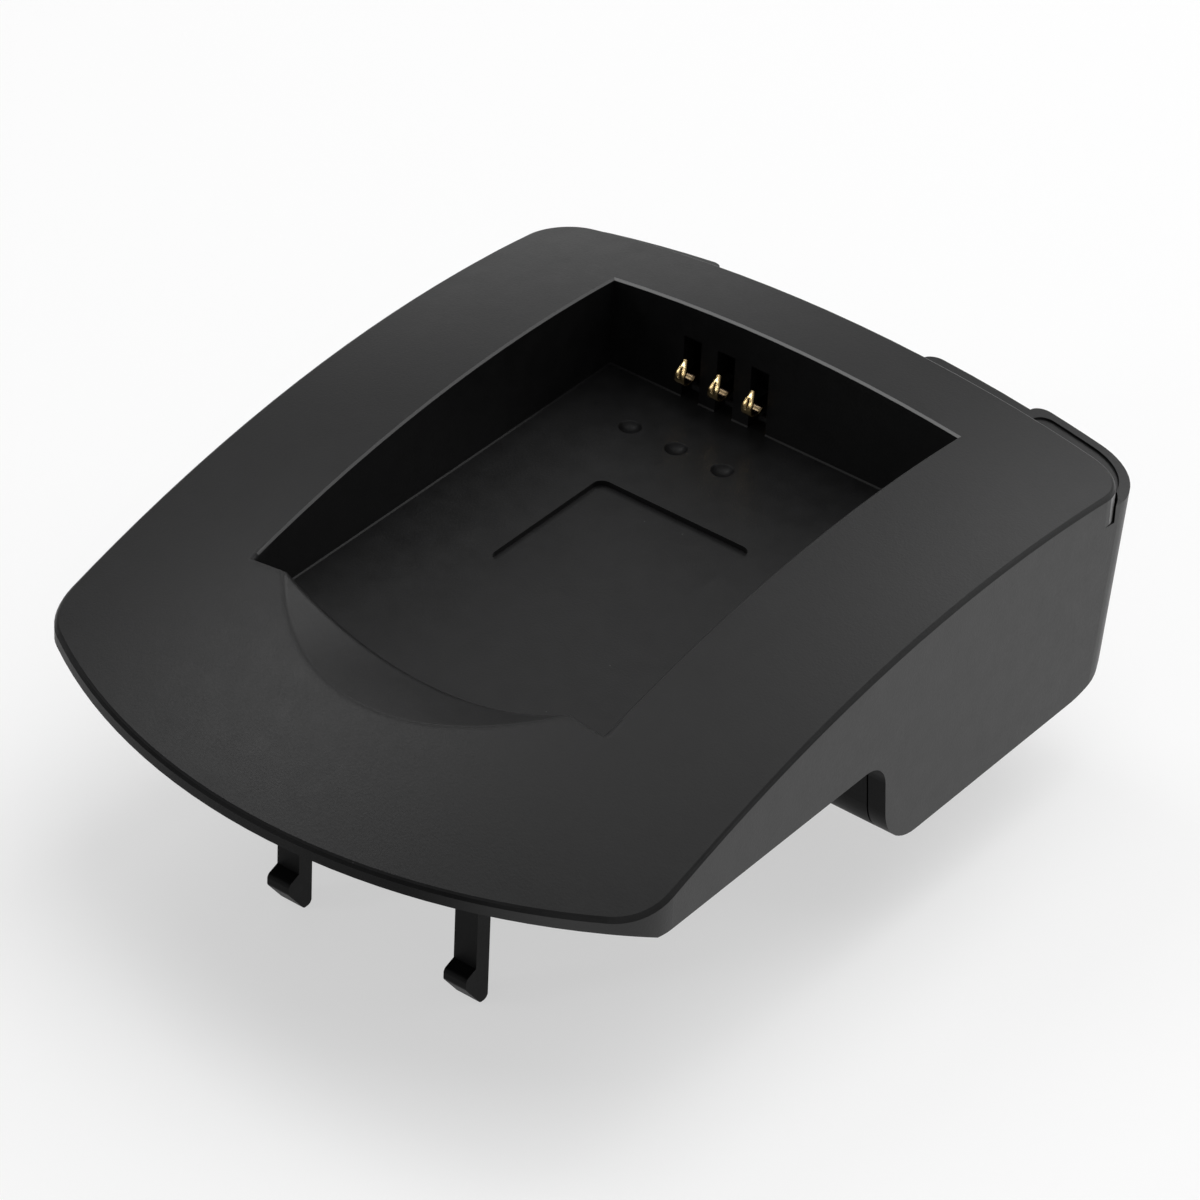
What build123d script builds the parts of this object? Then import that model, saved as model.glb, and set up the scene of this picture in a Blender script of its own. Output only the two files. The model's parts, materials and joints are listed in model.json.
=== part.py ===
from build123d import *
import os
from math import cos, radians, sin, sqrt, tan

# Clip-on battery cradle of a camera battery charger, in millimetres.
# The origin is the battery datum: bay floor level, middle of the contact wall.
# +X is right, +Y runs from the thumb scoop to the contacts, +Z is up.

# Battery bay
bay_width = 37.0
bay_length = 48.5
bay_wall = 1.5
bay_floor = 1.6
bay_rim_chamfer = 0.2
bay_floor_chamfer = 0.12

# Crowned top, part of a ball
crown_height = 10.7
crown_apex_y = -12.7
crown_wall = 2.0
crease_chamfer = 0.28
crease_break = 0.12

# Plan outline
rear_half_width = 31.35
front_half_width = 31.8
front_corner_y = -59.4
front_reach = 69.6
front_corner_radius = 5.8
side_wall = 1.8
front_rim = 5.0
lip_thickness = 2.3
lip_straight = 1.2
lip_undercut = 52.0

# Side profile: thin front and the deep rear block
underside_depth = 3.4
block_depth = 13.8
block_front_y = -27.1
block_front_lean = 6.0
notch_radius = 3.0
block_toe_radius = 4.8
block_heel_radius = 9.5

# Rear wall, the ledge behind it and the rimmed boss on the right rear corner
shell_rear_y = 8.3
shell_corner_radius = 4.2
ledge_reach = 10.0
ledge_drop = 1.25
ledge_groove_width = 0.25
ledge_groove_depth = 1.7
ledge_gap_left_x = -14.4
ledge_gap_right_x = 8.0
boss_reach = 11.4
boss_inner_x = 18.7
boss_corner_radius = 6.0
boss_rim_width = 1.0
boss_rim_height = 0.2
ear_end_radius = 1.3
rear_lean = 7.5

# Thumb scoop in front of the bay
scoop_radius = 30.0
scoop_rise = 17.5
scoop_sill = 1.0
scoop_wall = 1.8

# Label recess and three dimples in the bay floor
label_width = 16.4
label_length = 15.5
label_rear_y = -14.6
label_depth = 0.5
label_corner_radius = 1.0
dimple_pitch = 5.05
dimple_y = -6.75
dimple_diameter = 2.1
dimple_depth = 0.45

# Battery contacts and their slots
contact_row_x = -6.0
contact_pitch = 3.67
contact_width = 1.05
contact_thickness = 0.25
contact_reach = 2.36
contact_arm_height = 2.4
contact_nose_radius = 0.8
contact_tip_y = -0.9
contact_tip_height = 4.75
contact_tip_width = 0.14
contact_shoulder = 3.7
contact_slit_width = 0.16
contact_slit_low = 3.3
contact_slit_high = 4.1
contact_root_height = 2.7
contact_dip_rear = -0.05
contact_dip_front = -0.5
contact_bend_radius = 0.3
contact_leg_gap = 0.7
slot_width = 1.9
slot_height = 6.4

# Cover, hooks and fits
cover_wall = 1.6
cover_gap = 0.15
hook_spacing = 19.14
hook_width = 2.4
hook_thickness = 1.7
hook_front_y = -54.2
hook_depth = 24.0
catch_reach = 1.3
catch_height = 4.05
catch_slope = 0.5
catch_nose_height = 1.0
catch_toe = 0.7
catch_radius = 0.5
hook_root_radius = 1.5

# Screws
screw_x = 25.5
front_screw_y = -42.0
rear_screw_y = -9.0
post_diameter = 5.5
screw_head_diameter = 4.2
screw_head_height = 0.9
screw_diameter = 2.2
screw_length = 5.0
screw_recess = 1.0
pilot_gap = 0.05
head_gap = 0.2
drive_length = 2.4
drive_width = 0.6
drive_depth = 0.5

# Circuit board, contact carrier and base contacts
board_width = 36.0
board_rear_y = 5.8
board_length = 28.0
board_thickness = 1.6
board_gap = 0.3
board_rib_width = 1.6
board_rib_inset = 3.0
carrier_length = 13.4
carrier_front_gap = 0.15
carrier_depth = 3.6
carrier_height = 2.3
carrier_slot_side_gap = 0.3
carrier_swing_gap = 0.9
contact_foot_gap = 0.15
base_pin_pitch = 9.0
base_pin_y = -12.0
base_pad_width = 4.6
base_pad_length = 6.5
base_pad_thickness = 0.7
base_pad_recess = 0.2
base_blade_width = 2.0
base_blade_thickness = 0.8
base_blade_stub = 0.1
base_pin_gap = 0.05
chip_length = 3.2
chip_width = 1.6
chip_height = 0.6
chip_pitch = 8.0
chip_y = -17.5

# Values that follow from the sizes above
underside_z = -underside_depth
block_bottom_z = -block_depth
lip_top_z = underside_z + lip_thickness
crown_run = front_reach + crown_apex_y
crown_drop = crown_height - lip_top_z
crown_radius = (crown_run**2 + crown_drop**2) / (2 * crown_drop)
crown_centre = (0, crown_apex_y, crown_height - crown_radius)
corner_run = sqrt(front_half_width**2 + (front_corner_y - crown_apex_y) ** 2)
corner_top_z = crown_height - crown_radius + sqrt(crown_radius**2 - corner_run**2)
lip_break_z = min(lip_top_z, corner_top_z) - lip_straight
ball_turn = (90, 0, 0)
bow_sagitta = front_reach + front_corner_y
bow_radius = (front_half_width**2 + bow_sagitta**2) / (2 * bow_sagitta)
bow_centre_y = bow_radius - front_reach
block_toe_y = block_front_y + (block_depth - underside_depth) * tan(radians(block_front_lean))
high_z = 2 * crown_height
low_z = -2 * block_depth
width_limit = 2 * front_half_width
front_limit_y = -2 * front_reach
rear_limit_y = 2 * boss_reach
cavity_rear_y = shell_rear_y - side_wall
front_cover_top_z = underside_z + cover_wall
block_cover_top_z = block_bottom_z + cover_wall
board_top_z = -bay_floor - board_gap
board_bottom_z = board_top_z - board_thickness
board_middle_y = board_rear_y - board_length / 2
board_rib_pitch = board_width - 2 * board_rib_inset
board_rib_length = board_length - 2 * board_rib_inset
leg_front_y = bay_wall + contact_leg_gap
contact_foot_z = board_top_z + contact_foot_gap
screw_grip = screw_length - (cover_wall - screw_recess)
contact_places = [contact_row_x + step * contact_pitch for step in (-1, 0, 1)]
dimple_ball = ((dimple_diameter / 2) ** 2 + dimple_depth**2) / (2 * dimple_depth)
dimple_places = [contact_row_x + step * dimple_pitch for step in (-1, 0, 1)]
base_pin_places = [step * base_pin_pitch for step in (-1, 0, 1)]
front_screw_places = [(side * screw_x, front_screw_y) for side in (-1, 1)]
rear_screw_places = [(side * screw_x, rear_screw_y) for side in (-1, 1)]


def half_width(y):
    """Half width of the plate at y, which flares a little to the front."""
    share = (y - front_corner_y) / (shell_rear_y - front_corner_y)
    return front_half_width + (rear_half_width - front_half_width) * share


def rear_wall_y(reach, z):
    """Y at height z of a leaning rear wall that is at reach on the bay floor's level."""
    return reach + z * tan(radians(rear_lean))


def plan_outline(side_inset, front_inset, rear_y):
    """Plan of the plate moved in at the sides and bow, with its rear edge at rear_y."""
    front_x = front_half_width - side_inset
    rear_x = half_width(rear_y) - side_inset
    corner_y = bow_centre_y - sqrt((bow_radius - front_inset) ** 2 - front_x**2)
    with BuildSketch() as outline:
        with BuildLine():
            Polyline((front_x, corner_y), (rear_x, rear_y), (-rear_x, rear_y), (-front_x, corner_y))
            ThreePointArc((-front_x, corner_y), (0, front_inset - front_reach), (front_x, corner_y))
        make_face()
        fillet(outline.vertices().group_by(Axis.Y)[0], front_corner_radius - side_inset)
    return outline.sketch


def plate_prism(growth):
    """Upright prism of the plate's plan, grown at the sides and rear, with rounded rear corners."""
    with BuildPart() as prism:
        with BuildSketch(Plane.XY.offset(low_z)):
            add(plan_outline(-growth, 0, shell_rear_y + growth))
        extrude(amount=high_z - low_z)
        rear_face = prism.faces().sort_by(Axis.Y)[-1]
        fillet(rear_face.edges().filter_by(Axis.Z), shell_corner_radius + growth)
    return prism.part


def side_profile():
    """Side outline with the notch and block, carried on past the crown and the bow."""
    rear_top = (rear_wall_y(boss_reach, high_z), high_z)
    front_low = (front_limit_y, underside_z)
    with BuildSketch() as outline:
        with BuildLine():
            FilletPolyline(
                front_low,
                (block_front_y, underside_z),
                (block_toe_y, block_bottom_z),
                (rear_wall_y(boss_reach, block_bottom_z), block_bottom_z),
                rear_top,
                radius=[notch_radius, block_toe_radius, block_heel_radius],
            )
            Polyline(rear_top, (front_limit_y, high_z), front_low)
        make_face()
    return outline.sketch


def scoop_plane():
    """Section plane of the thumb scoop, on its axis at the front wall of the bay."""
    rise = radians(scoop_rise)
    centre = (0, scoop_radius * sin(rise) - bay_length, scoop_sill + scoop_radius * cos(rise))
    return Plane(origin=centre, x_dir=(1, 0, 0), z_dir=(0, -cos(rise), sin(rise)))


def rear_ear(inner_x, side, reach, corner_radius, drop, side_inset=0):
    """Part of the leaning rear wall from inner_x to one side, ending by drop below the crown."""
    with BuildPart() as ear:
        with BuildSketch(Plane.XY.offset(low_z)):
            with BuildLine():
                Polyline(
                    (inner_x, 0),
                    (inner_x, rear_limit_y),
                    (side * (half_width(rear_limit_y) - side_inset), rear_limit_y),
                    (side * (half_width(0) - side_inset), 0),
                    close=True,
                )
            make_face()
        extrude(amount=high_z - low_z)
        with BuildSketch(Plane.YZ):
            with BuildLine():
                Polyline(
                    (0, low_z),
                    (rear_wall_y(reach, low_z), low_z),
                    (rear_wall_y(reach, high_z), high_z),
                    (0, high_z),
                    close=True,
                )
            make_face()
        extrude(amount=width_limit, both=True, mode=Mode.INTERSECT)
        for end, radius in ((0, ear_end_radius), (-1, corner_radius)):
            uprights = ear.faces().sort_by(Axis.Y)[-1].edges().filter_by(Axis.X, reverse=True)
            fillet(uprights.sort_by(lambda edge: abs(edge.center().X))[end], radius)
        with BuildSketch(Plane.YZ):
            add(side_profile())
        extrude(amount=width_limit, both=True, mode=Mode.INTERSECT)
        with Locations(crown_centre):
            Sphere(crown_radius - drop, rotation=ball_turn, mode=Mode.INTERSECT)
    return ear.part


# Ledge and boss behind the rear wall, apart from it by a groove, with a low rim round the boss
with BuildPart() as wall_groove:
    add(plate_prism(ledge_groove_width))
    with Locations(crown_centre):
        Sphere(crown_radius - ledge_drop - ledge_groove_depth, rotation=ball_turn, mode=Mode.SUBTRACT)
with BuildPart() as boss_tray:
    add(
        rear_ear(
            boss_inner_x + boss_rim_width,
            1,
            boss_reach - boss_rim_width,
            boss_corner_radius - boss_rim_width,
            0,
            boss_rim_width,
        )
    )
    with Locations(crown_centre):
        Sphere(crown_radius - ledge_drop - boss_rim_height, rotation=ball_turn, mode=Mode.SUBTRACT)
with BuildPart() as rear_ledge:
    add(rear_ear(ledge_gap_left_x, -1, ledge_reach, shell_corner_radius, ledge_drop))
    add(rear_ear(ledge_gap_right_x, 1, ledge_reach, shell_corner_radius, ledge_drop))
    add(rear_ear(boss_inner_x, 1, boss_reach, boss_corner_radius, ledge_drop))
    add(boss_tray.part, mode=Mode.SUBTRACT)
    add(wall_groove.part, mode=Mode.SUBTRACT)

# Hollow of the shell: what stays is the skin, the bay, the scoop and the screw posts
with BuildPart() as cavity:
    with BuildSketch(Plane.XY.offset(low_z)):
        add(plan_outline(side_wall, front_rim, cavity_rear_y))
    extrude(amount=high_z - low_z)
    with Locations(crown_centre):
        Sphere(crown_radius - crown_wall, rotation=ball_turn, mode=Mode.INTERSECT)
    with BuildSketch(Plane.XY.offset(-bay_floor)):
        with Locations((0, -bay_length / 2)):
            Rectangle(bay_width + 2 * bay_wall, bay_length + 2 * bay_wall)
    extrude(amount=high_z + bay_floor, mode=Mode.SUBTRACT)
    with BuildSketch(scoop_plane()):
        Circle(scoop_radius + scoop_wall)
    extrude(amount=bay_length, mode=Mode.SUBTRACT)
    with BuildSketch(Plane.XY.offset(front_cover_top_z)):
        with Locations(front_screw_places):
            Circle(post_diameter / 2)
    extrude(amount=high_z, mode=Mode.SUBTRACT)
    with BuildSketch(Plane.XY.offset(block_cover_top_z)):
        with Locations(rear_screw_places):
            Circle(post_diameter / 2)
    extrude(amount=high_z - block_cover_top_z, mode=Mode.SUBTRACT)

# Top shell: one moulding with the crowned top, skirts, rear ledge, boss, bay and scoop
with BuildPart() as top_shell:
    add(plate_prism(0))
    with Locations(crown_centre):
        Sphere(crown_radius, rotation=ball_turn, mode=Mode.INTERSECT)
    with Locations((0, bow_centre_y, low_z)):
        Cone(
            bow_radius - (lip_break_z - low_z) * tan(radians(lip_undercut)),
            bow_radius + (high_z - lip_break_z) * tan(radians(lip_undercut)),
            high_z - low_z,
            align=(Align.CENTER, Align.CENTER, Align.MIN),
            mode=Mode.INTERSECT,
        )
    for crease_cut in (crease_chamfer, crease_break):
        crown_face = top_shell.faces().filter_by(GeomType.SPHERE).sort_by(SortBy.AREA)[-1]
        chamfer(crown_face.edges(), crease_cut)
    with BuildSketch(Plane.YZ):
        add(side_profile())
    extrude(amount=width_limit, both=True, mode=Mode.INTERSECT)
    add(rear_ledge.part)
    # Battery bay with a softened rim and floor
    with BuildSketch():
        with Locations((0, -bay_length / 2)):
            Rectangle(bay_width, bay_length)
    extrude(amount=high_z, mode=Mode.SUBTRACT)
    crown_face = top_shell.faces().filter_by(GeomType.SPHERE).sort_by(SortBy.AREA)[-1]
    chamfer(crown_face.inner_wires()[0].edges(), bay_rim_chamfer)
    bay_face = top_shell.faces().filter_by(Axis.Z).filter_by_position(Axis.Z, 0, 0)[0]
    chamfer(bay_face.edges(), bay_floor_chamfer)
    # Thumb scoop, from just inside the bay out through the crown
    with BuildSketch(scoop_plane().offset(-bay_wall)):
        Circle(scoop_radius)
    extrude(amount=bay_length, mode=Mode.SUBTRACT)
    add(cavity.part, mode=Mode.SUBTRACT)
    # Contact slots, label recess and dimples
    with BuildSketch(Plane.XY):
        with Locations([(x, 0) for x in contact_places]):
            Rectangle(slot_width, 2 * leg_front_y)
    extrude(amount=slot_height, mode=Mode.SUBTRACT)
    with BuildSketch(Plane.XY):
        with Locations((0, label_rear_y - label_length / 2)):
            RectangleRounded(label_width, label_length, label_corner_radius)
    extrude(amount=-label_depth, mode=Mode.SUBTRACT)
    with Locations([(x, dimple_y, dimple_ball - dimple_depth) for x in dimple_places]):
        Sphere(dimple_ball, mode=Mode.SUBTRACT)
    # Pilot holes in the four posts
    with Locations(
        *[Plane((x, y, front_cover_top_z), z_dir=(0, 0, -1)) for x, y in front_screw_places],
        *[Plane((x, y, block_cover_top_z), z_dir=(0, 0, -1)) for x, y in rear_screw_places],
    ):
        Hole(screw_diameter / 2 + pilot_gap, depth=screw_grip + head_gap)
top_shell.part.label = "top_shell"

# Bottom cover: front panel, step and block floor in one, with the two latch hooks
with BuildPart() as bottom_cover:
    with BuildSketch(Plane.YZ):
        add(side_profile())
        offset(amount=-cover_wall, mode=Mode.SUBTRACT)
    extrude(amount=width_limit, both=True)
    with BuildSketch(Plane.XY.offset(low_z)):
        add(plan_outline(side_wall + cover_gap, front_rim + cover_gap, cavity_rear_y - cover_gap))
    extrude(amount=-low_z, mode=Mode.INTERSECT)
    hook_rear_y = hook_front_y + hook_thickness
    ledge_z = catch_height - hook_depth
    nose_y = hook_front_y - catch_reach
    with BuildSketch(*[Plane.YZ.offset(side * hook_spacing / 2) for side in (-1, 1)]):
        with BuildLine():
            FilletPolyline(
                (hook_front_y, underside_z),
                (hook_front_y, ledge_z),
                (nose_y, ledge_z - catch_slope),
                (nose_y, ledge_z - catch_slope - catch_nose_height),
                (hook_front_y + catch_toe, -hook_depth),
                (hook_rear_y, -hook_depth),
                (hook_rear_y, underside_z),
                radius=[0, catch_radius, catch_radius, catch_radius, catch_radius],
            )
            Line((hook_rear_y, underside_z), (hook_front_y, underside_z))
        make_face()
    extrude(amount=hook_width / 2, both=True)
    root_edges = bottom_cover.edges().filter_by_position(Axis.Z, underside_z, underside_z)
    fillet(root_edges.filter_by_position(Axis.Y, hook_front_y, hook_rear_y), hook_root_radius)
    # Two ribs under the circuit board
    with BuildSketch(Plane.XY.offset(block_cover_top_z)):
        with Locations([(side * board_rib_pitch / 2, board_middle_y) for side in (-1, 1)]):
            Rectangle(board_rib_width, board_rib_length)
    extrude(amount=board_bottom_z - block_cover_top_z)
    with Locations(
        *[Plane((x, y, underside_z), z_dir=(0, 0, -1)) for x, y in front_screw_places],
        *[Plane((x, y, block_bottom_z), z_dir=(0, 0, -1)) for x, y in rear_screw_places],
    ):
        CounterBoreHole(
            screw_diameter / 2 + head_gap,
            screw_head_diameter / 2 + head_gap,
            screw_recess,
            depth=2 * cover_wall,
        )
    with BuildSketch(Plane.XY.offset(block_bottom_z)):
        with Locations([(x, base_pin_y) for x in base_pin_places]):
            Rectangle(base_pad_width + 2 * base_pin_gap, base_pad_length + 2 * base_pin_gap)
    extrude(amount=base_pad_thickness + base_pad_recess, mode=Mode.SUBTRACT)
    with BuildSketch(Plane.XY.offset(block_bottom_z)):
        with Locations([(x, base_pin_y) for x in base_pin_places]):
            Rectangle(base_blade_width + 2 * base_pin_gap, base_blade_thickness + 2 * base_pin_gap)
    extrude(amount=2 * cover_wall, mode=Mode.SUBTRACT)
bottom_cover.part.label = "bottom_cover"

# Four cross-head screws that hold the cover to the posts
with BuildPart() as cover_screws:
    seats = [(x, y, underside_z + screw_recess) for x, y in front_screw_places]
    seats += [(x, y, block_bottom_z + screw_recess) for x, y in rear_screw_places]
    with Locations(*[Plane(seat) for seat in seats]):
        Cylinder(screw_diameter / 2, screw_length, align=(Align.CENTER, Align.CENTER, Align.MIN))
        Cylinder(screw_head_diameter / 2, screw_head_height, align=(Align.CENTER, Align.CENTER, Align.MAX))
    with BuildSketch(*[Plane((x, y, z - screw_head_height)) for x, y, z in seats]):
        Rectangle(drive_length, drive_width)
        Rectangle(drive_width, drive_length)
    extrude(amount=drive_depth, mode=Mode.SUBTRACT)
cover_screws.part.label = "cover_screws"

# Circuit board with the three blade holes
with BuildPart() as circuit_board:
    with BuildSketch(Plane.XY.offset(board_bottom_z)):
        with Locations((0, board_middle_y)):
            Rectangle(board_width, board_length)
        with Locations([(x, base_pin_y) for x in base_pin_places]):
            Rectangle(
                base_blade_width + 2 * base_pin_gap,
                base_blade_thickness + 2 * base_pin_gap,
                mode=Mode.SUBTRACT,
            )
    extrude(amount=board_thickness)
circuit_board.part.label = "circuit_board"

# Chip resistors on the underside of the board
with BuildPart() as chip_resistors:
    with Locations([(side * chip_pitch / 2, chip_y, board_bottom_z) for side in (-1, 1)]):
        Box(chip_length, chip_width, chip_height, align=(Align.CENTER, Align.CENTER, Align.MAX))
chip_resistors.part.label = "chip_resistors"

# Insulating carrier that keeps the feet of the battery contacts apart
with BuildPart() as contact_carrier:
    with BuildSketch(Plane.XY.offset(board_top_z)):
        with Locations((contact_row_x, bay_wall + carrier_front_gap)):
            Rectangle(carrier_length, carrier_depth, align=(Align.CENTER, Align.MIN))
        with Locations([(x, leg_front_y - carrier_slot_side_gap) for x in contact_places]):
            Rectangle(
                contact_width + 2 * carrier_slot_side_gap,
                contact_thickness + carrier_slot_side_gap + carrier_swing_gap,
                align=(Align.CENTER, Align.MIN),
                mode=Mode.SUBTRACT,
            )
    extrude(amount=carrier_height)
contact_carrier.part.label = "contact_carrier"


def battery_contact(x):
    """Leaf spring: foot in the carrier, arm that dips out of its slot, split nose and pointed tip."""
    leg_y = leg_front_y + contact_thickness / 2
    half = contact_width / 2
    half_tip = contact_tip_width / 2
    top_z = contact_tip_height + contact_thickness
    with BuildPart() as leaf:
        with BuildSketch(Plane.YZ.offset(x)):
            with BuildLine() as path:
                FilletPolyline(
                    (leg_y, contact_foot_z),
                    (leg_y, contact_root_height),
                    (contact_dip_rear, contact_root_height),
                    (contact_dip_front, contact_arm_height),
                    (-contact_reach, contact_arm_height),
                    (contact_tip_y, contact_tip_height),
                    radius=[contact_bend_radius] * 3 + [contact_nose_radius],
                )
            trace(path.line, line_width=contact_thickness)
        extrude(amount=half, both=True)
        with BuildSketch(Plane.XZ):
            with Locations((x, 0)):
                Polygon(
                    (-half, contact_foot_z),
                    (half, contact_foot_z),
                    (half, contact_shoulder),
                    (half_tip, top_z),
                    (-half_tip, top_z),
                    (-half, contact_shoulder),
                    align=None,
                )
        extrude(amount=front_reach, both=True, mode=Mode.INTERSECT)
        with BuildSketch(Plane.XZ):
            with Locations((x, (contact_slit_low + contact_slit_high) / 2)):
                Rectangle(contact_slit_width, contact_slit_high - contact_slit_low)
        extrude(amount=front_reach, both=True, mode=Mode.SUBTRACT)
    return leaf.part


def base_contact(x):
    """Flat pad under the block with a blade up through the cover and the board."""
    pad_z = block_bottom_z + base_pad_recess
    with BuildPart() as pin:
        with Locations((x, base_pin_y, pad_z)):
            Box(
                base_pad_width,
                base_pad_length,
                base_pad_thickness,
                align=(Align.CENTER, Align.CENTER, Align.MIN),
            )
            Box(
                base_blade_width,
                base_blade_thickness,
                board_top_z + base_blade_stub - pad_z,
                align=(Align.CENTER, Align.CENTER, Align.MIN),
            )
    return pin.part


contact_roles = ("positive", "sense", "negative")
os.makedirs("parts", exist_ok=True)
for piece in (top_shell, bottom_cover, cover_screws, circuit_board, chip_resistors, contact_carrier):
    export_step(piece.part, f"parts/{piece.part.label}.step")
for role, x in zip(contact_roles, contact_places):
    leaf_part = battery_contact(x)
    leaf_part.label = f"battery_contact_{role}"
    export_step(leaf_part, f"parts/{leaf_part.label}.step")
for role, x in zip(contact_roles, base_pin_places):
    pin_part = base_contact(x)
    pin_part.label = f"base_contact_{role}"
    export_step(pin_part, f"parts/{pin_part.label}.step")
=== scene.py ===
"""Finishes, stage, light and camera for the clip-on battery cradle plate."""

import json
import logging
import math
from dataclasses import dataclass
from enum import Enum
from typing import Any, Optional, Union

import bmesh
import bpy
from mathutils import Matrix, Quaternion, Vector


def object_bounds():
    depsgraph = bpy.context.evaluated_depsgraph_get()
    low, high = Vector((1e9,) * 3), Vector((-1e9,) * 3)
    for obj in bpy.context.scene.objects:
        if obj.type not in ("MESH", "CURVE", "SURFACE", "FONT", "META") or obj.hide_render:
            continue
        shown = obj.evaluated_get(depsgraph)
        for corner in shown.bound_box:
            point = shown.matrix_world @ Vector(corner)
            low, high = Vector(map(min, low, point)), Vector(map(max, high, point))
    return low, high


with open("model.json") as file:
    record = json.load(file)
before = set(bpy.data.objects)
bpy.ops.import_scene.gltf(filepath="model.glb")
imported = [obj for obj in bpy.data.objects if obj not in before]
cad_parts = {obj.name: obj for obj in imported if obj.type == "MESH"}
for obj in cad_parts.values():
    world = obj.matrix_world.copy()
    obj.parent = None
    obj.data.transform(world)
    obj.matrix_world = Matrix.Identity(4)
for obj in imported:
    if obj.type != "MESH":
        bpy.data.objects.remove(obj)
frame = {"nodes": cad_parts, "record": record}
cad_low, cad_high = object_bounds()

LOG = logging.getLogger("cradle_plate")
PER_METRE = 1000.0
BEVEL_SAMPLES = 8

Colour = tuple[float, float, float, float]
Operand = Union["Term", float]


class Term:
    """One number in a shader graph, which takes part in Python arithmetic."""

    def __init__(self, graph: "Graph", socket: bpy.types.NodeSocket) -> None:
        """Keep the graph and the socket that carries the number."""
        self.graph = graph
        self.socket = socket

    def _math(self, operation: str, first: Operand, second: Operand) -> "Term":
        """Add one Math node.

        Args:
            operation: The Math node's operation.
            first: Its first value.
            second: Its second value.

        Returns:
            The result as a new term.
        """
        node = self.graph.node("ShaderNodeMath", {"operation": operation}, {0: first, 1: second})
        return Term(self.graph, node.outputs[0])

    def __add__(self, other: Operand) -> "Term":
        """Sum of two terms."""
        return self._math("ADD", self, other)

    def __radd__(self, other: Operand) -> "Term":
        """Sum with a plain number first."""
        return self._math("ADD", other, self)

    def __sub__(self, other: Operand) -> "Term":
        """Difference of two terms."""
        return self._math("SUBTRACT", self, other)

    def __rsub__(self, other: Operand) -> "Term":
        """Difference with a plain number first."""
        return self._math("SUBTRACT", other, self)

    def __mul__(self, other: Operand) -> "Term":
        """Product of two terms."""
        return self._math("MULTIPLY", self, other)

    def __rmul__(self, other: Operand) -> "Term":
        """Product with a plain number first."""
        return self._math("MULTIPLY", other, self)

    def __lt__(self, other: Operand) -> "Term":
        """One where this term is less, else zero."""
        return self._math("LESS_THAN", self, other)

    def __gt__(self, other: Operand) -> "Term":
        """One where this term is greater, else zero."""
        return self._math("GREATER_THAN", self, other)

    def __abs__(self) -> "Term":
        """Size of the term without its sign."""
        return self._math("ABSOLUTE", self, 0.0)

    def ramp(self, start: float, end: float) -> "Term":
        """Smooth step.

        Args:
            start: The value at which the step is nought.
            end: The value at which it is one.

        Returns:
            The step as a new term.
        """
        settings = {"interpolation_type": "SMOOTHSTEP"}
        node = self.graph.node("ShaderNodeMapRange", settings, {0: self, 1: start, 2: end})
        return Term(self.graph, node.outputs[0])


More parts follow.
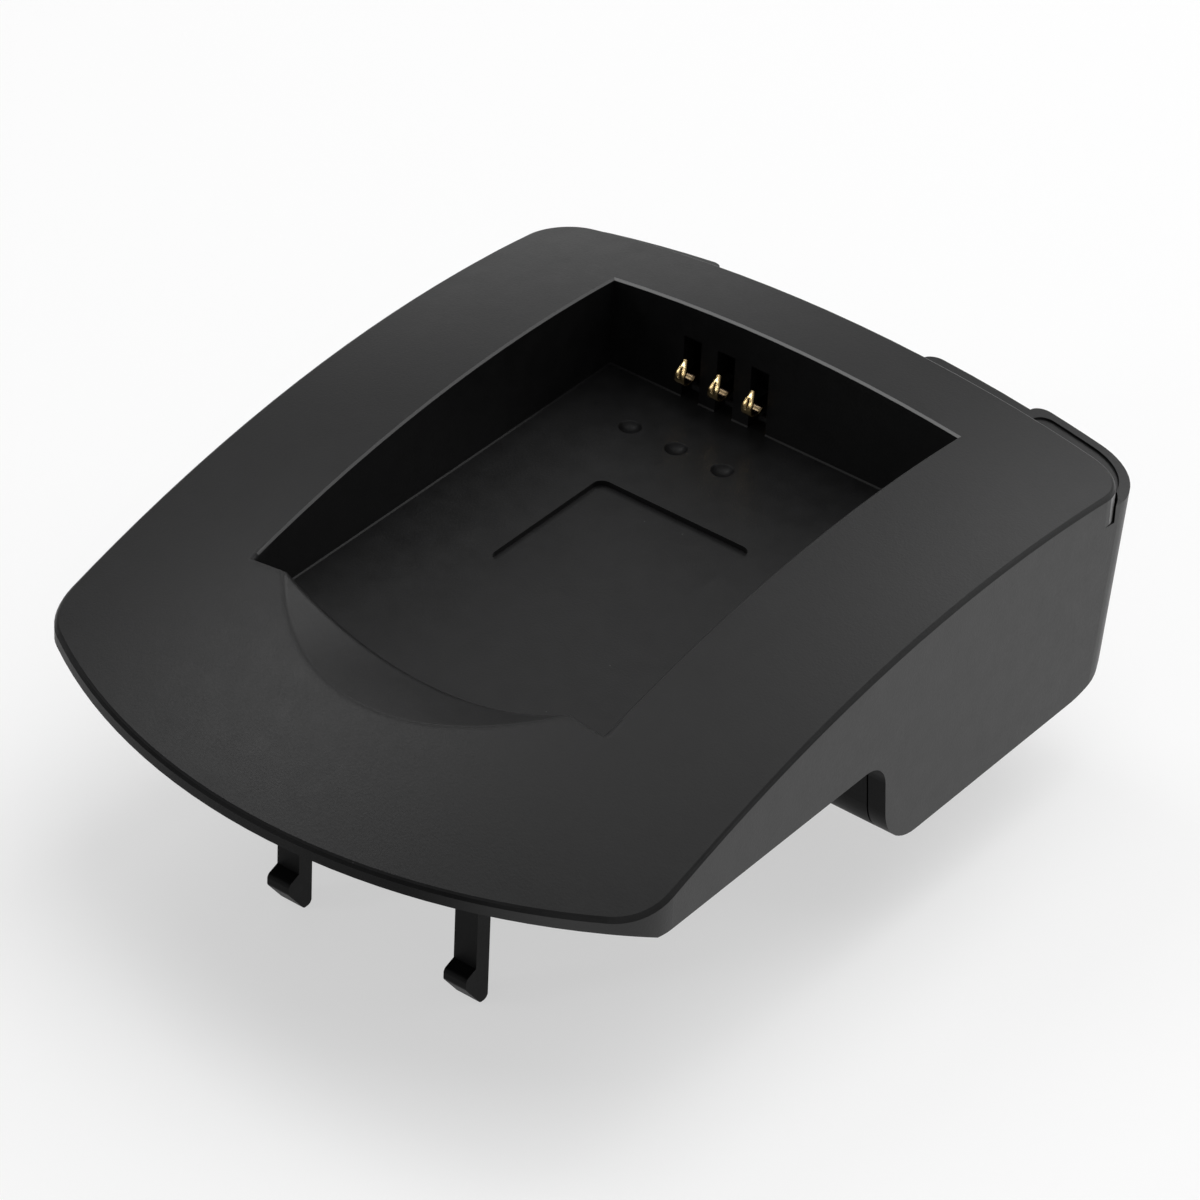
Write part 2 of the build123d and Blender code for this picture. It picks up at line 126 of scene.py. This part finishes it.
class Graph:
    """A node tree that is filled through one method."""

    def __init__(self, tree: bpy.types.NodeTree) -> None:
        """Start from an empty tree."""
        self.tree = tree
        self.tree.nodes.clear()

    def node(
        self,
        kind: str,
        settings: Optional[dict[str, Any]] = None,
        sockets: Optional[dict[Union[str, int], Any]] = None,
    ) -> bpy.types.Node:
        """Add a node, set it up and feed its sockets.

        Args:
            kind: The node's type name.
            settings: Its properties, set first.
            sockets: Values, terms or sockets for its inputs, by name or index.

        Returns:
            The new node.
        """
        node = self.tree.nodes.new(kind)
        for name, value in (settings or {}).items():
            setattr(node, name, value)
        for key, value in (sockets or {}).items():
            if isinstance(value, Term):
                self.tree.links.new(value.socket, node.inputs[key])
            elif isinstance(value, bpy.types.NodeSocket):
                self.tree.links.new(value, node.inputs[key])
            else:
                node.inputs[key].default_value = value
        return node

    def millimetres(self, stretch: tuple[float, float, float] = (1.0, 1.0, 1.0)) -> bpy.types.NodeSocket:
        """Object coordinates in millimetres.

        Args:
            stretch: A factor for each axis.

        Returns:
            The vector socket.
        """
        place = self.node("ShaderNodeTexCoord").outputs["Object"]
        scale = tuple(PER_METRE * part for part in stretch)
        return self.node("ShaderNodeMapping", None, {"Vector": place, "Scale": scale}).outputs["Vector"]

    def facing(self) -> bpy.types.NodeSocket:
        """Direction that the surface faces, in the object's own axes."""
        return self.node("ShaderNodeTexCoord").outputs["Normal"]

    def axes(self, vector: bpy.types.NodeSocket) -> tuple[Term, Term, Term]:
        """Split a vector.

        Args:
            vector: The vector's socket.

        Returns:
            Its three parts.
        """
        split = self.node("ShaderNodeSeparateXYZ", None, {"Vector": vector})
        return Term(self, split.outputs[0]), Term(self, split.outputs[1]), Term(self, split.outputs[2])

    def noise(self, place: bpy.types.NodeSocket, per_mm: float, detail: float) -> Term:
        """Soft random values.

        Args:
            place: The coordinates in millimetres.
            per_mm: Cells to the millimetre.
            detail: Octaves of finer noise.

        Returns:
            A term about one half.
        """
        node = self.node("ShaderNodeTexNoise", None, {"Vector": place, "Scale": per_mm, "Detail": detail})
        return Term(self, node.outputs["Fac"])

    def blend(self, share: Operand, first: Any, second: Any) -> bpy.types.NodeSocket:
        """Mix two colours.

        Args:
            share: How much of the second colour shows.
            first: The first colour or its socket.
            second: The second colour or its socket.

        Returns:
            The colour socket.
        """
        settings = {"data_type": "RGBA", "clamp_factor": True}
        node = self.node("ShaderNodeMix", settings, {0: share, 6: first, 7: second})
        return node.outputs[2]

    def rounding(self, radius: Operand) -> bpy.types.NodeSocket:
        """Normal that turns gently over the edges of a moulding.

        Args:
            radius: The edge's radius in metres.

        Returns:
            The normal socket.
        """
        return self.node("ShaderNodeBevel", {"samples": BEVEL_SAMPLES}, {"Radius": radius}).outputs["Normal"]

    def bump(
        self,
        height: Term,
        depth: float,
        strength: float,
        under: Optional[bpy.types.NodeSocket] = None,
    ) -> bpy.types.NodeSocket:
        """Normal of a surface with fine relief.

        Args:
            height: The relief, from nought to one.
            depth: Its depth in metres.
            strength: How strongly it shows.
            under: The normal that the relief lies on, if it isn't the mesh's own.

        Returns:
            The normal socket.
        """
        sockets: dict[str, Any] = {"Height": height, "Distance": depth, "Strength": strength}
        if under is not None:
            sockets["Normal"] = under
        return self.node("ShaderNodeBump", None, sockets).outputs["Normal"]

    def skin(self, sockets: dict[str, Any]) -> bpy.types.NodeSocket:
        """Add a principled skin.

        Args:
            sockets: The values and links by socket name.

        Returns:
            The skin's socket.
        """
        return self.node("ShaderNodeBsdfPrincipled", None, sockets).outputs["BSDF"]

    def mixed(self, share: Term, first: Any, second: Any) -> bpy.types.NodeSocket:
        """Mix two skins.

        Args:
            share: How much of the second skin shows.
            first: The first skin's socket.
            second: The second skin's socket.

        Returns:
            The mixed skin's socket.
        """
        return self.node("ShaderNodeMixShader", None, {0: share, 1: first, 2: second}).outputs["Shader"]

    def close(self, skin: bpy.types.NodeSocket) -> None:
        """Close the graph.

        Args:
            skin: The skin's socket that the surface gets.
        """
        self.node("ShaderNodeOutputMaterial", None, {"Surface": skin})


def tinted(colour: Colour, factor: float) -> Colour:
    """Make a colour lighter or darker.

    Args:
        colour: The colour.
        factor: What its parts are multiplied by.

    Returns:
        The new colour.
    """
    return (colour[0] * factor, colour[1] * factor, colour[2] * factor, 1.0)


def new_graph(name: str) -> tuple[bpy.types.Material, Graph]:
    """Start a material.

    Args:
        name: The material's name.

    Returns:
        The material and its empty graph.
    """
    material = bpy.data.materials.new(name)
    material.use_nodes = True
    return material, Graph(material.node_tree)


@dataclass(frozen=True)
class Zone:
    """An upright box without top or bottom, in millimetres."""

    middle: tuple[float, float]
    reach: tuple[float, float]

    def covers(self, x: Term, y: Term) -> Term:
        """Tell the inside from the outside.

        Args:
            x: The place across the plate.
            y: The place along the plate.

        Returns:
            One inside the zone, else nought.
        """
        across = abs(x - self.middle[0]) < self.reach[0]
        along = abs(y - self.middle[1]) < self.reach[1]
        return across * along


@dataclass(frozen=True)
class MouldedPlastic:
    """Black moulded plastic with a spark-eroded skin and a little dust."""

    name: str
    colour: Colour
    roughness: float
    gloss: float
    grain_per_mm: float
    grain_depth: float
    grain_strength: float
    dust_colour: Colour
    dust_share: float
    cloud_per_mm: float = 0.5
    cloud_detail: float = 4.0
    cloud_swing: float = 0.5
    grain_detail: float = 2.0
    coarse_ratio: float = 3.0
    coarse_detail: float = 1.0
    coarse_share: float = 0.3
    roughness_swing: float = 0.1
    dust_per_mm: float = 0.55
    dust_radius: float = 0.035

    def edges(self, graph: Graph, place: bpy.types.NodeSocket) -> Optional[bpy.types.NodeSocket]:
        """Normal that the grain lies on.

        Args:
            graph: The material's graph.
            place: The coordinates in millimetres.

        Returns:
            None, which stands for the mesh's own normal.
        """
        return None

    def sockets(self, graph: Graph, place: bpy.types.NodeSocket) -> dict[str, Any]:
        """Sockets of a skin with clouded colour, fine grain and sparse dust.

        Args:
            graph: The material's graph.
            place: The coordinates in millimetres.

        Returns:
            The values and links by socket name.
        """
        cloud = graph.noise(place, self.cloud_per_mm, self.cloud_detail)
        grain = graph.noise(place, self.grain_per_mm, self.grain_detail)
        coarse = graph.noise(place, self.grain_per_mm / self.coarse_ratio, self.coarse_detail)
        cells = graph.node("ShaderNodeTexVoronoi", None, {"Vector": place, "Scale": self.dust_per_mm})
        split = graph.node("ShaderNodeSeparateColor", None, {"Color": cells.outputs["Color"]})
        chosen = Term(graph, split.outputs[0]) < self.dust_share
        dust = (Term(graph, cells.outputs["Distance"]) < self.dust_radius) * chosen
        dark = tinted(self.colour, 1.0 - self.cloud_swing)
        light = tinted(self.colour, 1.0 + self.cloud_swing)
        relief = (1.0 - self.coarse_share) * grain + self.coarse_share * coarse
        return {
            "Base Color": graph.blend(dust, graph.blend(cloud, dark, light), self.dust_colour),
            "Roughness": self.roughness + self.roughness_swing * (grain + cloud - 1.0),
            "Specular IOR Level": self.gloss,
            "Normal": graph.bump(relief, self.grain_depth, self.grain_strength, self.edges(graph, place)),
        }

    def material(self) -> bpy.types.Material:
        """Material with the same skin all over."""
        material, graph = new_graph(self.name)
        graph.close(graph.skin(self.sockets(graph, graph.millimetres())))
        return material


@dataclass(frozen=True)
class ShellPlastic(MouldedPlastic):
    """The shell's plastic: painted shade from a less glossy skin on the lower front faces and in the
    dimples, soft scoop, painted highlight on the bay rim and on the upright corner beside the boss.
    """

    # Specular level of the less glossy skin, which paints shade on the lip, the block's front and the
    # dimples.
    shade_gloss: float = 0.08
    shade_ahead: tuple[float, float] = (-0.4, -0.8)
    shade_side: tuple[float, float] = (0.5, 0.25)
    front_top: float = -0.6
    dimples: Zone = Zone((-6.0, -6.75), (6.2, 1.1))
    dimple_depth: tuple[float, float] = (-0.02, -0.1)
    dimple_shade_share: float = 0.7
    scoop: Zone = Zone((0.0, -54.5), (20.5, 8.0))
    scoop_rounding: float = 0.0009
    rim: Zone = Zone((0.0, -23.7), (18.9, 24.2))
    rim_floor: float = 0.5
    rim_slope: tuple[float, float] = (0.45, 0.85)
    rim_lean: float = 0.3
    rim_left: float = 0.3
    rim_right: float = 0.1
    rim_rear: float = 1.0
    # Painted highlight: a lighter colour on the bay rim's chamfers, strongest on the rear wall.
    rim_highlight_colour: Colour = (0.2, 0.2, 0.2, 1.0)
    corner_middle: tuple[float, float] = (27.15, 4.1)
    corner_reach: float = 4.32
    corner_floor: float = 3.0
    corner_side: float = 0.2
    corner_ahead: float = 0.4
    corner_band: float = 0.22
    corner_lean: float = 0.3
    # Painted highlight: a lighter colour where the corner's edge would catch a grazing reflection.
    corner_highlight_colour: Colour = (0.22, 0.22, 0.22, 1.0)

    def edges(self, graph: Graph, place: bpy.types.NodeSocket) -> bpy.types.NodeSocket:
        """Normal that turns softly over the scoop's edges.

        Args:
            graph: The material's graph.
            place: The coordinates in millimetres.

        Returns:
            The normal socket.
        """
        x, y, _ = graph.axes(place)
        return graph.rounding(self.scoop_rounding * self.scoop.covers(x, y))

    def painted_shade_share(self, graph: Graph, place: bpy.types.NodeSocket) -> Term:
        """Share of the less glossy skin that paints shade: the lip and the block's front, and the three
        dimples.

        Args:
            graph: The material's graph.
            place: The coordinates in millimetres.

        Returns:
            The share, from nought to one.
        """
        x, y, z = graph.axes(place)
        side, ahead, _ = graph.axes(graph.facing())
        # Painted shade: lower front-facing faces and the dimple hollows get the less glossy skin, which
        # darkens them as shade would.
        front = ahead.ramp(*self.shade_ahead) * side.ramp(*self.shade_side) * (z < self.front_top)
        return front + self.dimple_shade_share * self.dimples.covers(x, y) * z.ramp(*self.dimple_depth)

    def rim_highlight_share(self, graph: Graph, place: bpy.types.NodeSocket) -> Term:
        """Share of the painted highlight on the broken edge of the bay, which differs by side.

        Args:
            graph: The material's graph.
            place: The coordinates in millimetres.

        Returns:
            The share on the rim, else nought.
        """
        x, y, z = graph.axes(place)
        side, ahead, up = graph.axes(graph.facing())
        slope = (up > self.rim_slope[0]) * (up < self.rim_slope[1])
        left = self.rim_left * (side > self.rim_lean)
        right = self.rim_right * (side < -self.rim_lean)
        rear = self.rim_rear * (ahead < -self.rim_lean)
        return slope * (left + right + rear) * self.rim.covers(x, y) * (z > self.rim_floor)

    def corner_highlight_share(self, graph: Graph, place: bpy.types.NodeSocket) -> Term:
        """Share of the painted highlight, which is one on the upright corner beside the boss.

        Args:
            graph: The material's graph.
            place: The coordinates in millimetres.

        Returns:
            One on the corner, else nought.
        """
        x, y, z = graph.axes(place)
        side, ahead, up = graph.axes(graph.facing())
        out_x, out_y = x - self.corner_middle[0], y - self.corner_middle[1]
        near = (out_x * out_x + out_y * out_y < self.corner_reach**2) * (z > self.corner_floor)
        turned = (side > self.corner_side) * (abs(ahead - self.corner_ahead) < self.corner_band)
        return near * turned * (abs(up) < self.corner_lean)

    def material(self) -> bpy.types.Material:
        """Material with the plain skin, the less glossy one that paints shade, and painted highlights on the
        rim and the corner.
        """
        material, graph = new_graph(self.name)
        place = graph.millimetres()
        plain = self.sockets(graph, place)
        # Painted highlight on the bay rim.
        rim = graph.blend(self.rim_highlight_share(graph, place), plain["Base Color"], self.rim_highlight_colour)
        # Painted highlight on the upright corner beside the boss.
        plain["Base Color"] = graph.blend(self.corner_highlight_share(graph, place), rim, self.corner_highlight_colour)
        # The matt skin is a less glossy copy of the plain one, mixed in to paint shade.
        matt = plain | {"Specular IOR Level": self.shade_gloss}
        graph.close(graph.mixed(self.painted_shade_share(graph, place), graph.skin(plain), graph.skin(matt)))
        return material


@dataclass(frozen=True)
class PlatedMetal:
    """Plated sheet or wire with fine draw marks."""

    name: str
    colour: Colour
    worn_colour: Colour
    # Painted shade: a darker colour on the faces that look up, which dims their reflection.
    top_shade_colour: Colour
    roughness: float
    marks_per_mm: float
    marks_stretch: tuple[float, float, float]
    edge_radius: float
    marks_depth: float = 0.000004
    marks_strength: float = 0.35
    marks_swing: float = 0.06
    patches_per_mm: float = 1.4
    patches_swing: float = 0.16
    noise_detail: float = 2.0
    top_shade_facing: tuple[float, float] = (0.7, 0.9)

    def material(self) -> bpy.types.Material:
        """Metal with an uneven plating, rolled edges and painted shade on the faces that look up."""
        material, graph = new_graph(self.name)
        marks = graph.noise(graph.millimetres(self.marks_stretch), self.marks_per_mm, self.noise_detail)
        patches = graph.noise(graph.millimetres(), self.patches_per_mm, self.noise_detail)
        _, _, up = graph.axes(graph.facing())
        plate = graph.blend(patches, self.colour, self.worn_colour)
        swing = self.patches_swing * (patches - 0.5) + self.marks_swing * (marks - 0.5)
        edges = graph.rounding(self.edge_radius)
        plating = {
            # Painted shade on the faces that look up.
            "Base Color": graph.blend(up.ramp(*self.top_shade_facing), plate, self.top_shade_colour),
            "Metallic": 1.0,
            "Roughness": self.roughness + swing,
            "Normal": graph.bump(marks, self.marks_depth, self.marks_strength, edges),
        }
        graph.close(graph.skin(plating))
        return material


@dataclass(frozen=True)
class SolderMask:
    """Lacquered circuit board with tracks under the lacquer."""

    name: str
    colour: Colour
    track_colour: Colour
    track_per_mm: float = 0.11
    track_waver: float = 1.2
    track_level: float = 0.72
    weave_per_mm: float = 2.6
    weave_detail: float = 1.0
    weave_share: float = 0.2
    roughness: float = 0.3
    roughness_swing: float = 0.12
    relief_depth: float = 0.00002
    relief_strength: float = 0.4

    def material(self) -> bpy.types.Material:
        """Board with lighter tracks and a glossy lacquer."""
        material, graph = new_graph(self.name)
        place = graph.millimetres()
        settings = {"wave_type": "BANDS", "bands_direction": "X"}
        bands = {"Vector": place, "Scale": self.track_per_mm, "Distortion": self.track_waver}
        wave = graph.node("ShaderNodeTexWave", settings, bands)
        track = Term(graph, wave.outputs["Fac"]) > self.track_level
        weave = graph.noise(place, self.weave_per_mm, self.weave_detail)
        relief = (1.0 - self.weave_share) * track + self.weave_share * weave
        lacquer = {
            "Base Color": graph.blend(track, self.colour, self.track_colour),
            "Roughness": self.roughness + self.roughness_swing * weave,
            "Normal": graph.bump(relief, self.relief_depth, self.relief_strength),
        }
        graph.close(graph.skin(lacquer))
        return material


class Finish(Enum):
    """The finishes of the plate, each named for its slot in the record."""

    SHELL = ShellPlastic(
        name="shell_black",
        colour=(0.0052, 0.0052, 0.0054, 1.0),
        roughness=0.42,
        gloss=0.44,
        grain_per_mm=4.6,
        grain_depth=0.00003,
        grain_strength=0.45,
        dust_colour=(0.06, 0.06, 0.06, 1.0),
        dust_share=0.05,
    )
    COVER = MouldedPlastic(
        name="cover_black",
        colour=(0.003, 0.003, 0.0032, 1.0),
        roughness=0.5,
        gloss=0.1,
        grain_per_mm=3.4,
        grain_depth=0.000012,
        grain_strength=0.3,
        dust_colour=(0.05, 0.05, 0.05, 1.0),
        dust_share=0.03,
    )
    CARRIER = MouldedPlastic(
        name="carrier_grey",
        colour=(0.05, 0.05, 0.05, 1.0),
        roughness=0.6,
        gloss=0.35,
        grain_per_mm=3.0,
        grain_depth=0.00001,
        grain_strength=0.3,
        dust_colour=(0.1, 0.1, 0.1, 1.0),
        dust_share=0.02,
    )
    CHIP = MouldedPlastic(
        name="chip_black",
        colour=(0.012, 0.012, 0.012, 1.0),
        roughness=0.3,
        gloss=0.5,
        grain_per_mm=2.0,
        grain_depth=0.000006,
        grain_strength=0.2,
        dust_colour=(0.05, 0.05, 0.05, 1.0),
        dust_share=0.02,
    )
    CONTACT = PlatedMetal(
        name="contact_gold",
        colour=(0.95, 0.76, 0.4, 1.0),
        worn_colour=(0.82, 0.56, 0.26, 1.0),
        top_shade_colour=(0.13, 0.095, 0.07, 1.0),
        roughness=0.2,
        marks_per_mm=5.0,
        marks_stretch=(1.0, 0.12, 0.12),
        edge_radius=0.00035,
    )
    SCREW = PlatedMetal(
        name="screw_steel",
        colour=(0.56, 0.56, 0.58, 1.0),
        worn_colour=(0.4, 0.4, 0.42, 1.0),
        top_shade_colour=(0.3, 0.3, 0.3, 1.0),
        roughness=0.36,
        marks_per_mm=6.0,
        marks_stretch=(1.0, 1.0, 0.2),
        edge_radius=0.0001,
    )
    BOARD = SolderMask(
        name="board_green",
        colour=(0.012, 0.075, 0.03, 1.0),
        track_colour=(0.03, 0.13, 0.05, 1.0),
    )


@dataclass
class Dressing:
    """Puts each finish on the nodes of its slot."""

    finishes: tuple[Finish, ...] = tuple(Finish)

    def dress(self) -> None:
        """Give every CAD node the material of its slot in the record."""
        made = {finish.value.name: finish.value.material() for finish in self.finishes}
        for row in frame["record"]["subparts"]:
            node = frame["nodes"][row["node"]]
            node.material_slots[0].material = made[row["material_slot"]]
            LOG.info("%s dressed in %s", row["node"], row["material_slot"])


@dataclass
class Stage:
    """A plain pale floor at the lowest point of the plate, on which the shadow stays faint."""

    reach: float = 6.0
    gap: float = 0.00005
    colour: Colour = (0.93, 0.93, 0.93, 1.0)
    glow: Colour = (1.0, 1.0, 1.0, 1.0)
    glow_share: float = 0.55
    glow_strength: float = 1.0
    roughness: float = 0.9
    gloss: float = 0.0

    def build(self) -> None:
        """Make the floor and mark it as stage."""
        mesh = bpy.data.meshes.new("floor")
        shape = bmesh.new()
        bmesh.ops.create_grid(shape, x_segments=1, y_segments=1, size=self.reach)
        bmesh.ops.translate(shape, verts=shape.verts, vec=(0.0, 0.0, cad_low.z - self.gap))
        shape.to_mesh(mesh)
        shape.free()
        floor = bpy.data.objects.new("floor", mesh)
        bpy.context.scene.collection.objects.link(floor)
        material, graph = new_graph("floor_white")
        path = graph.node("ShaderNodeLightPath")
        rays = ("Is Camera Ray", "Is Glossy Ray", "Is Transmission Ray")
        seen = sum(Term(graph, path.outputs[ray]) for ray in rays)
        matt = {"Base Color": self.colour, "Roughness": self.roughness, "Specular IOR Level": self.gloss}
        shine = {"Color": self.glow, "Strength": self.glow_strength}
        white = graph.node("ShaderNodeEmission", None, shine).outputs["Emission"]
        graph.close(graph.mixed(self.glow_share * seen, graph.skin(matt), white))
        mesh.materials.append(material)
        LOG.info("floor at %.4f m", cad_low.z - self.gap)


@dataclass(frozen=True)
class Softbox:
    """One square soft lamp that faces the plate."""

    name: str
    place: tuple[float, float, float]
    size: float
    power: float
    mirrored: bool = True

    def hang(self, aim: Vector) -> None:
        """Hang the lamp.

        Args:
            aim: The point that it faces.
        """
        lamp = bpy.data.lights.new(self.name, "AREA")
        lamp.shape = "SQUARE"
        lamp.size = self.size
        lamp.energy = self.power
        holder = bpy.data.objects.new(self.name, lamp)
        holder.location = self.place
        holder.rotation_mode = "QUATERNION"
        holder.rotation_quaternion = (aim - Vector(self.place)).to_track_quat("-Z", "Y")
        holder.visible_glossy = self.mirrored
        bpy.context.scene.collection.objects.link(holder)


@dataclass
class StudioLight:
    """A dim even room with a broad lamp overhead and soft lamps behind, at the left and in front."""

    room_colour: Colour = (1.0, 1.0, 1.0, 1.0)
    room_strength: float = 0.28
    aim: tuple[float, float, float] = (0.0, -0.03, 0.0)
    lamps: tuple[Softbox, ...] = (
        Softbox("overhead", (0.15, 0.1, 0.75), 0.7, 3.5, mirrored=False),
        Softbox("behind", (0.0, 0.724, 0.528), 0.35, 0.9),
        Softbox("high_behind", (0.0, 0.498, 0.754), 0.35, 0.6),
        Softbox("low_left", (-0.571, 0.651, 0.238), 0.35, 0.25),
        Softbox("left", (-0.52, 0.062, 0.754), 0.35, 1.02),
        Softbox("high_left", (-0.123, 0.117, 0.9), 0.35, 0.34),
        Softbox("right_behind", (0.536, 0.609, 0.389), 0.35, 0.5),
        Softbox("front", (-0.387, -0.637, 0.29), 0.12, 0.34),
    )

    def build(self) -> None:
        """Light the room and hang the lamps."""
        world = bpy.data.worlds.new("room")
        world.use_nodes = True
        graph = Graph(world.node_tree)
        even = {"Strength": self.room_strength, "Color": self.room_colour}
        room = graph.node("ShaderNodeBackground", None, even)
        graph.node("ShaderNodeOutputWorld", None, {"Surface": room.outputs[0]})
        bpy.context.scene.world = world
        for lamp in self.lamps:
            lamp.hang(Vector(self.aim))


@dataclass
class PhotoCamera:
    """The camera at the photograph's place."""

    eye: tuple[float, float, float] = (0.260096, -0.376897, 0.313054)
    aim: tuple[float, float, float] = (0.0012015, -0.0265327, -0.002)
    roll: float = 2.7513
    lens: float = 190.966
    sensor: float = 36.0
    clip_start: float = 0.01
    clip_end: float = 20.0

    def build(self) -> None:
        """Place the camera and make it the scene's."""
        lens = bpy.data.cameras.new("photo_camera")
        lens.lens = self.lens
        lens.sensor_width = self.sensor
        lens.clip_start = self.clip_start
        lens.clip_end = self.clip_end
        camera = bpy.data.objects.new("photo_camera", lens)
        camera.location = self.eye
        camera.rotation_mode = "QUATERNION"
        look = (Vector(self.aim) - Vector(self.eye)).to_track_quat("-Z", "Y")
        camera.rotation_quaternion = look @ Quaternion((0.0, 0.0, 1.0), math.radians(self.roll))
        bpy.context.scene.collection.objects.link(camera)
        bpy.context.scene.camera = camera


def main() -> None:
    """Build the classes in order."""
    logging.basicConfig(level=logging.INFO)
    bpy.context.scene.view_settings.view_transform = "Standard"
    PhotoCamera().build()
    Dressing().dress()
    Stage().build()
    StudioLight().build()


if __name__ == "__main__":
    main()
